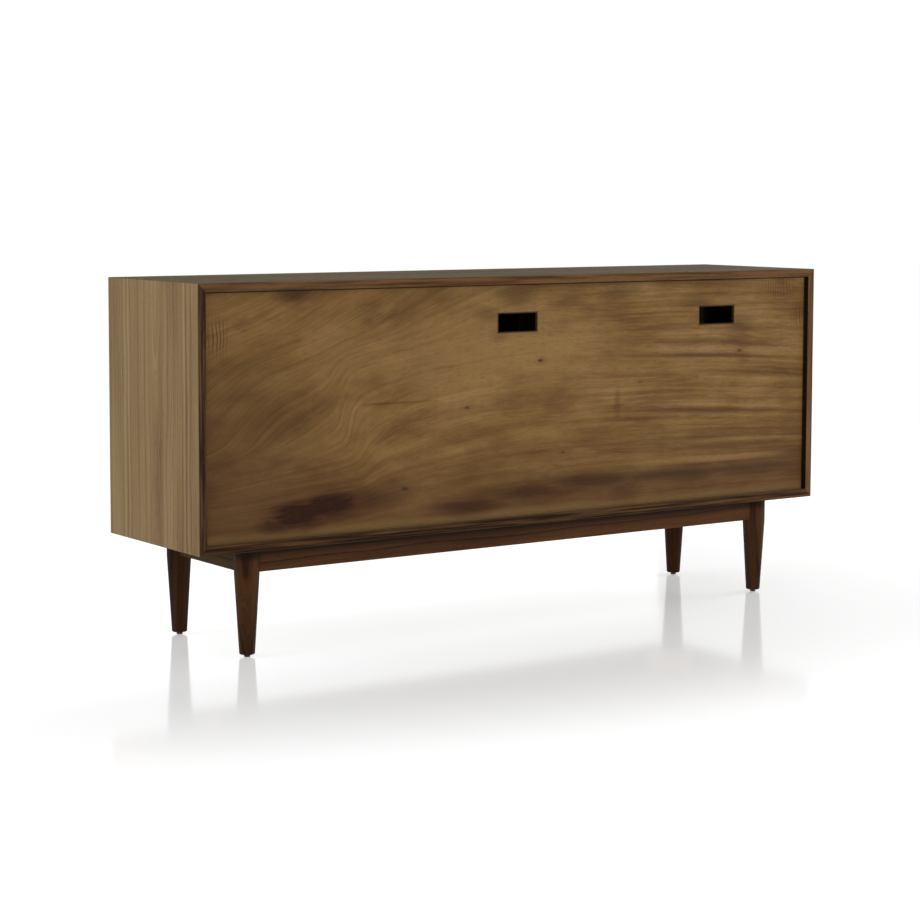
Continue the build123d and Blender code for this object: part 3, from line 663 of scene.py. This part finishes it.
dark_streaks = [
    (-0.53, 0.6, 0.32, 0.007, 0.5), (-0.51, 0.574, 0.33, 0.007, 0.6), (-0.64, 0.536, 0.23, 0.007, 0.45),
    (-0.54, 0.446, 0.36, 0.008, 0.6), (-0.28, 0.427, 0.12, 0.007, 0.4), (-0.56, 0.4, 0.3, 0.008, 0.3),
    (-0.6, 0.362, 0.26, 0.009, 0.35),
]
light_streaks = [
    (-0.53, 0.587, 0.32, 0.007, 0.5), (-0.64, 0.519, 0.23, 0.009, 0.45), (-0.55, 0.458, 0.33, 0.006, 0.5),
    (-0.53, 0.334, 0.33, 0.011, 0.5), (-0.56, 0.378, 0.3, 0.008, 0.35),
]
knots = [
    (0.660, 0.278, 0.5), (0.328, 0.322, 0.7), (0.170, 0.484, 0.6), (-0.024, 0.577, 0.9),
    (-0.088, 0.372, 0.5), (-0.230, 0.463, 0.3), (-0.305, 0.518, 0.35), (-0.600, 0.577, 0.7),
]
torn = calc(tree, "SUBTRACT", noise(tree, stretch(tree, flow, (0.10, 0.022, 1.0)), 3.0, 0.6), 0.5)
ragged = calc(tree, "MULTIPLY", torn, 1.1)


def cloud_at(x, z, reach_x, reach_z, strength, rim, where=flat):
    """The mask of one dark or light place on the panel."""
    shape = {"Centre": (x, z, 0.0), "Reach": (reach_x, reach_z, 1.0), "Strength": strength}
    return place_group(tree, cloud, {"Vector": where, "Ragged": rim, **shape})["Mask"]


def gather(places, rim, where=flat):
    """The masks of many places, the stronger one where they meet."""
    mask = 0.0
    for place in places:
        mask = calc(tree, "MAXIMUM", mask, cloud_at(*place, rim, where))
    return mask


golden = cloud_at(0.12, 0.60, 0.50, 0.14, 0.6, ragged)
colour = mix(tree, golden, colour, back_browns[2])
frayed = calc(tree, "MULTIPLY", torn, 0.5)
colour = mix(tree, gather(dark_streaks, frayed, flow), colour, tint(74, 42, 24))
colour = mix(tree, gather(light_streaks, frayed, flow), colour, tint(158, 124, 78))
drawer_end = fade(tree, part["X"], 0.30, 0.80, 0.0, 0.22)
colour = mix(tree, drawer_end, colour, tint(80, 48, 24))
# painted highlight: a light strip along the bottom of the sheet
low_painted_highlight = fade(tree, part["Z"], 0.266, 0.246, 0.0, 0.6)
colour = mix(tree, low_painted_highlight, colour, tint(134, 106, 64))
colour = mix(tree, gather(dark_clouds, calc(tree, "MULTIPLY", torn, 0.6)), colour, tint(45, 20, 7))
for x, z, dark in knots:
    colour = mix(tree, cloud_at(x, z, 0.026, 0.012, dark * 0.3, ragged), colour, tint(70, 44, 25))
    colour = mix(tree, cloud_at(x, z, 0.010, 0.005, dark, torn), colour, tint(36, 20, 11))
print(len(dark_clouds), "clouds,", len(dark_streaks + light_streaks), "streaks and", len(knots), "knots")

# %% [markdown]
# Where the knife of the veneer lathe chattered, close ripples stand across the grain. Where the sheet meets
# the case at the top and at the far side, a thin painted shadow makes it nearly black.

# %% Chatter and painted shadow lines
bent = calc(tree, "SUBTRACT", noise(tree, stretch(tree, flat, (0.05, 0.06, 1.0)), 1.0), 0.5)
crest_pitch = 0.0085
crest = calc(tree, "MULTIPLY", part["X"], 2 * math.pi / crest_pitch)
crest = calc(tree, "MULTIPLY_ADD", bent, 14.0, crest)
crest = fade(tree, calc(tree, "SINE", crest), 0.2, 1.0)
chatter_places = [
    (0.772, 0.655, 0.035, 0.055, 1.0),
    (-0.72, 0.72, 0.10, 0.04, 0.5),
    (-0.785, 0.66, 0.03, 0.06, 0.7),
]
chatter = calc(tree, "MULTIPLY", gather(chatter_places, torn), crest)
colour = mix(tree, calc(tree, "MULTIPLY", chatter, 0.75), colour, tint(70, 36, 20))
# painted shadow: thin, nearly black lines along the top and the far side of the sheet
top_painted_shadow = fade(tree, part["Z"], inner_top - 0.0035, inner_top - 0.0015, 0.0, 0.9)
side_painted_shadow = fade(tree, part["X"], 0.0045 - inner_side, 0.0025 - inner_side, 0.0, 0.9)
colour = mix(tree, calc(tree, "MAXIMUM", top_painted_shadow, side_painted_shadow), colour, tint(16, 10, 6))
print("chatter at", len(chatter_places), "places, ripples", crest_pitch, "m apart")

# %% [markdown]
# The back has two cord cut-outs, one behind the middle of each cupboard, and their inner faces and a thin rim
# round them get a painted shade, nearly black. The distance from the edge of a cut-out, sideways or up and
# down, gives the mask.

# %% Rims of the cut-outs
bay_walls = [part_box(name) for name in ("left_end_panel", "left_divider", "right_divider")]
bay_middles = [(near[1].x + beyond[0].x) / 2 for near, beyond in zip(bay_walls, bay_walls[1:])]
hole_half_x, hole_half_z, hole_z = 0.051, 0.0195, 0.6615
aside = [calc(tree, "ABSOLUTE", calc(tree, "SUBTRACT", part["X"], x)) for x in bay_middles]
aside = calc(tree, "SUBTRACT", calc(tree, "MINIMUM", *aside), hole_half_x)
above = calc(tree, "ABSOLUTE", calc(tree, "SUBTRACT", part["Z"], hole_z))
above = calc(tree, "SUBTRACT", above, hole_half_z)
# painted shade: nearly black inside the cut-outs and on a thin rim round them
cutout_painted_shade = fade(tree, calc(tree, "MAXIMUM", aside, above), 0.001, 0.0045, 0.85, 0.0)
colour = mix(tree, cutout_painted_shade, colour, tint(20, 11, 6))
print("cut-outs at", [round(x, 4) for x in bay_middles])

# %% [markdown]
# Pores, lacquer and relief are those of the other timber, read along the S.

# %% Surface of the back panel
pore_size = {"Length": 0.02, "Width": 0.0009, "Cut": 0.57}
hair = place_group(tree, pores, {"Vector": flow, **pore_size})["Mask"]
colour = mix(tree, calc(tree, "MULTIPLY", hair, 0.5), colour, back_browns[0])
feed(tree, shader.inputs["Base Color"], colour)
dull = place_group(tree, lacquer, {"Vector": flow, "Pores": hair, "Base": 0.52})["Roughness"]
feed(tree, shader.inputs["Roughness"], dull)
sunk = calc(tree, "MULTIPLY_ADD", hair, -0.7, calc(tree, "MULTIPLY_ADD", fine, 0.2, chatter))
relief(tree, shader, sunk, 0.0002)
print("back panel finish has", len(tree.nodes), "nodes")

# %% [markdown]
# ## Pale timber inside
# Drawer sides, backs and bottoms and the blocks in the base are a pale hardwood, as drawer boxes usually
# are. The same recipe serves, with pale colours and hardly any pores.

# %% Pale timber
pale_browns = [(176, 142, 98), (203, 171, 126), (219, 191, 149)]
pale_figure = (0.06, 0.02, 0.010, 0.015)
pale_cross = timber("pale_drawer_backs", laid((0.4, 0.1, 0.4)), pale_figure, pale_browns, pore=0.15)
deep_lay = laid((0.45, 0.0, 0.4), (0.0, 0.0, quarter))
pale_deep = timber("pale_drawer_sides", deep_lay, pale_figure, pale_browns, pore=0.15)
ply_lay = laid((0.5, 0.1, 0.3))
ply_figure = (0.03, 0.01, 0.02, 0.05)
ply_face = timber("birch_ply", ply_lay, ply_figure, pale_browns, pore=0.1, line=0.1)

# %% [markdown]
# ## Effect: handling
# Metal and plastic fittings are never one even tone either: plating clouds, tools leave drawn lines, and
# moulds leave a fine orange peel. The group gives a soft patch and a fine line or speck, each in its
# size.

# %% Handling group
handling, into, out = new_group(
    "handling",
    [
        ("Vector", "Vector", None),
        ("Patch Size", "Float", 0.02),
        ("Mark Size", "Vector", (0.001, 0.001, 0.001)),
    ],
    ["Patch", "Mark"],
)
tree = handling
closer = calc(tree, "DIVIDE", 1.0, into["Patch Size"])
spread = add(tree, "VectorMath", {0: into["Vector"], "Scale": closer}, operation="SCALE").outputs[0]
feed(tree, out["Patch"], noise(tree, spread, 3.0))
drawn = add(tree, "VectorMath", {0: into["Vector"], 1: into["Mark Size"]}, operation="DIVIDE").outputs[0]
feed(tree, out["Mark"], noise(tree, drawn, 2.0))
print("group", handling.name, "has", len(handling.nodes), "nodes")

# %% [markdown]
# ## Fittings: zinc, nickel, brass, nylon and plastic
# The slides are zinc plated sheet with lines drawn along their length, the pins and strikes are nickel,
# the pivot bushes brass, the glides black nylon and the catches brown plastic.

# %% Fittings
def fitting(name, low, high, rough, mark_size, metal=1.0, depth=0.00003):
    """A plated, turned or moulded finish between two colours."""
    finish, tree, shader, coords = new_finish(name, metal=metal)
    sockets = {"Vector": coords["Object"], "Patch Size": 0.018, "Mark Size": mark_size}
    touch = place_group(tree, handling, sockets)
    tone = calc(tree, "MULTIPLY_ADD", touch["Mark"], 0.35, calc(tree, "MULTIPLY", touch["Patch"], 0.65))
    feed(tree, shader.inputs["Base Color"], ramp(tree, tone, [(0.35, tint(*low)), (0.65, tint(*high))]))
    gloss = calc(tree, "MULTIPLY_ADD", calc(tree, "SUBTRACT", touch["Patch"], 0.5), 0.3, rough)
    feed(tree, shader.inputs["Roughness"], gloss)
    relief(tree, shader, touch["Mark"], depth)
    print("fitting finish", name)
    return finish


drawn_lines = (0.0006, 0.04, 0.0006)
turned_lines = (0.0009, 0.0009, 0.0003)
specks = (0.0008, 0.0008, 0.0008)
peel = {"metal": 0.0, "depth": 0.00006}
zinc = fitting("zinc_plate", (178, 181, 184), (212, 215, 218), 0.32, drawn_lines)
nickel = fitting("nickel_plate", (176, 170, 160), (206, 201, 192), 0.28, specks)
brass = fitting("turned_brass", (172, 134, 66), (214, 178, 104), 0.3, turned_lines)
nylon = fitting("black_nylon", (16, 16, 17), (34, 33, 32), 0.5, specks, **peel)
brown_plastic = fitting("brown_plastic", (62, 42, 28), (86, 60, 42), 0.45, specks, **peel)

# %% [markdown]
# ## Dressing the solids
# Each solid keeps its shape and gets its finish in its material slot.

# %% Assign the finishes
finish_of = {
    end_veneer: ["left_end_panel", "right_end_panel", "left_divider", "right_divider"],
    board_veneer: ["top_panel", "bottom_panel", "left_shelf", "centre_shelf"],
    figured_back: ["back_panel"],
    front_veneer: ["left_door_panel", "centre_door_panel"],
    leg_walnut: ["back_left_leg", "back_right_leg"],
    painted_shade_leg_walnut: ["front_left_leg", "front_right_leg"],
    long_walnut: ["front_rail", "back_rail"],
    painted_shade_cross_walnut: ["left_rail", "right_rail"],
    pale_cross: ["corner_blocks"],
    pale_deep: [],
    ply_face: ["mitre_splines"],
    zinc: ["slide_cabinet_members"],
    nickel: ["shelf_pins"],
    brass: ["pivot_bushes"],
    nylon: ["leg_glides"],
    brown_plastic: ["door_catches"],
}
doors, levels = ("left_door", "centre_door"), ("lower", "middle", "upper")
for door in doors:
    finish_of[nickel] += [door + "_pivots", door + "_strike"]
for level in levels:
    finish_of[front_veneer].append(level + "_drawer_front")
    finish_of[pale_deep] += [level + "_drawer_left_side", level + "_drawer_right_side"]
    finish_of[pale_cross].append(level + "_drawer_back")
    finish_of[ply_face].append(level + "_drawer_bottom")
    finish_of[zinc] += [level + "_drawer_slide_members", level + "_slide_middle_members"]
dressed = []
for finish, names in finish_of.items():
    for name in names:
        nodes[name].material_slots[0].material = finish
        dressed.append(name)
print("dressed", len(dressed), "of", len(nodes), "solids")

# %% [markdown]
# ## Screws
# Small screws hold the base to the case, the catches under the top, the strike plates on the doors, and
# the slides on the drawers and on the walls of their bay. A pan head is a cylinder whose rim is rounded,
# with a cross sunk into it. It is modelled once, lying at the origin with its head up, and copied to
# every place.

# %% Screw head
def pick(test):
    """In edit mode, select only the faces whose middle and normal pass a test."""
    bpy.ops.mesh.select_mode(type="FACE")
    bpy.ops.mesh.select_all(action="DESELECT")
    bpy.ops.object.mode_set(mode="OBJECT")
    for face in bpy.context.object.data.polygons:
        face.select = test(face.center, face.normal)
    bpy.ops.object.mode_set(mode="EDIT")


def cross_bar(length, width, depth, top, turn):
    """One bar of the cross that is sunk into a head."""
    bpy.ops.mesh.primitive_cube_add(size=1.0, location=(0.0, 0.0, top), rotation=(0.0, 0.0, turn))
    bar = bpy.context.object
    bar.scale = (length, width, 2 * depth)
    bpy.ops.object.transform_apply(location=True, rotation=True, scale=True)
    bpy.ops.object.mode_set(mode="EDIT")
    pick(lambda middle, normal: normal.z < -0.5)
    bpy.ops.transform.resize(value=(0.7, 0.7, 1.0))
    bpy.ops.object.mode_set(mode="OBJECT")
    return bar


def screw_head(name, radius, tall, sunk):
    """A round head with a rounded rim and a cross, standing on the floor plane at the origin."""
    bpy.ops.object.select_all(action="DESELECT")
    bpy.ops.mesh.primitive_cylinder_add(vertices=24, radius=radius, depth=tall, location=(0.0, 0.0, tall / 2))
    head = bpy.context.object
    head.name = name
    bpy.ops.object.transform_apply(location=True, rotation=True, scale=True)
    bpy.ops.object.mode_set(mode="EDIT")
    pick(lambda middle, normal: normal.z > 0.5)
    bpy.ops.mesh.bevel(offset=tall * 0.6, segments=3, affect="EDGES")
    bpy.ops.object.mode_set(mode="OBJECT")
    for turn in (0.0, quarter):
        bar = cross_bar(radius * 1.15, radius * 0.26, sunk, tall, turn)
        bpy.context.view_layer.objects.active = head
        cut = head.modifiers.new("cross", "BOOLEAN")
        cut.object = bar
        cut.operation = "DIFFERENCE"
        cut.solver = "EXACT"
        bpy.ops.object.modifier_apply(modifier=cut.name)
        bpy.data.objects.remove(bar)
    print("screw head", name, "has", len(head.data.polygons), "faces")
    return head


pan_head = screw_head("pan_head", 0.0040, 0.0024, 0.0016)
small_head = screw_head("small_head", 0.0026, 0.0015, 0.0010)
flush_head = screw_head("flush_head", 0.0030, 0.00012, 0.0010)

# %% [markdown]
# A set of screws on one part is joined into one piece. Each copy is turned so that its head looks the
# right way, and its place is then applied to the mesh, so that the piece itself stays at the origin.

# %% Sets of screws
def dress(piece, body, finish):
    """Give a new piece its finish and its slot, and let it ride on a body."""
    piece.data.materials.clear()
    piece.data.materials.append(finish)
    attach(piece, body)


def screw_set(name, head, seats, body, finish):
    """Copies of a head on seats of (place, facing), joined into one piece that rides on a body."""
    copies = []
    for place, facing in seats:
        bpy.ops.object.select_all(action="DESELECT")
        head.select_set(True)
        bpy.context.view_layer.objects.active = head
        bpy.ops.object.duplicate()
        copy = bpy.context.object
        copy.location = place
        copy.rotation_euler = Vector(facing).to_track_quat("Z", "Y").to_euler()
        bpy.ops.object.transform_apply(location=True, rotation=True, scale=True)
        copies.append(copy)
    for copy in copies:
        copy.select_set(True)
    bpy.ops.object.join()
    piece = bpy.context.object
    piece.name = name
    bpy.ops.object.shade_smooth_by_angle(angle=math.radians(35))
    dress(piece, body, finish)
    print(name, "has", len(seats), "screws on", body)


down, back = (0.0, 0.0, -1.0), (0.0, 1.0, 0.0)
block_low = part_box("corner_blocks")[0]
block_x, block_y = 0.647, 0.106
base_seats = [((x, y, block_low.z), down) for x in (-block_x, block_x) for y in (-block_y, block_y)]
screw_set("base_screws", pan_head, base_seats, "case", zinc)

# %% [markdown]
# The catches hang from two ears each, and every strike plate is let onto its door with two flush screws.

# %% Screws of the doors
catch_low, catch_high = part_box("door_catches")
ear_reach, ear_thickness = 0.0195, 0.0025
strike_reach = 0.0135
catch_seats = []
for door in doors:
    low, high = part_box(door + "_strike")
    middle = (low + high) / 2
    strike_x = [middle.x + side * strike_reach for side in (-1, 1)]
    strike_seats = [((x, high.y, middle.z), back) for x in strike_x]
    screw_set(door + "_strike_screws", flush_head, strike_seats, door, nickel)
    ears = [middle.x + side * ear_reach for side in (-1, 1)]
    catch_y = (catch_low.y + catch_high.y) / 2
    catch_seats += [((x, catch_y, catch_high.z - ear_thickness), down) for x in ears]
screw_set("catch_screws", small_head, catch_seats, "case", nickel)

# %% [markdown]
# A slide is screwed twice: its outer channel flat to the wall of the bay, where nothing may stand in the
# way of the middle channel, and its inner channel to the side of the drawer, in the hollow of the hat
# section.

# %% Screws of the slides
sheet, hat_hollow, end_distance = 0.0012, 0.0055, 0.038
inward, outward = (1.0, 0.0, 0.0), (-1.0, 0.0, 0.0)
wall_low, wall_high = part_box("slide_cabinet_members")
wall_seats = []
for level in levels:
    low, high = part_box(level + "_drawer_slide_members")
    middle = (low + high) / 2
    hat_seats = []
    for y in (low.y + end_distance, middle.y, high.y - end_distance):
        hat_seats.append(((low.x + hat_hollow, y, middle.z), outward))
        hat_seats.append(((high.x - hat_hollow, y, middle.z), inward))
        wall_seats.append(((wall_low.x + sheet, y, middle.z), inward))
        wall_seats.append(((wall_high.x - sheet, y, middle.z), outward))
    screw_set(level + "_drawer_slide_screws", small_head, hat_seats, level + "_drawer", zinc)
screw_set("slide_wall_screws", flush_head, wall_seats, "case", zinc)

# %% [markdown]
# The three heads that served as patterns are taken away, so that only their copies are left.

# %% Drop the patterns
for head in (pan_head, small_head, flush_head):
    bpy.data.objects.remove(head)
print("pattern heads removed")

# %% [markdown]
# ## Pole plates of the catches
# A magnetic catch holds its magnet between two steel plates, and only their front edges show. Each is a
# thin bar with rounded front corners, let into the housing so that it stands a hair proud of it.

# %% Pole plates
plate_wide, plate_tall, plate_deep = 0.022, 0.0024, 0.004
plate_proud, plate_apart = 0.00012, 0.0028
plates = []
for door in doors:
    low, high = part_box(door + "_strike")
    middle = (low + high) / 2
    for up in (-plate_apart, plate_apart):
        place = (middle.x, catch_low.y - plate_proud + plate_deep / 2, middle.z + up)
        bpy.ops.object.select_all(action="DESELECT")
        bpy.ops.mesh.primitive_cube_add(size=1.0, location=place)
        plate = bpy.context.object
        plate.scale = (plate_wide, plate_deep, plate_tall)
        bpy.ops.object.transform_apply(location=True, rotation=True, scale=True)
        bpy.ops.object.mode_set(mode="EDIT")
        pick(lambda middle, normal: abs(normal.x) > 0.5)
        bpy.ops.mesh.bevel(offset=plate_tall * 0.3, segments=3, affect="EDGES")
        bpy.ops.object.mode_set(mode="OBJECT")
        plates.append(plate)
for plate in plates:
    plate.select_set(True)
bpy.ops.object.join()
pole_plates = bpy.context.object
pole_plates.name = "catch_pole_plates"
bpy.ops.object.shade_smooth_by_angle(angle=math.radians(35))
dress(pole_plates, "case", nickel)
print("pole plates:", len(plates), "with", len(pole_plates.data.polygons), "faces")
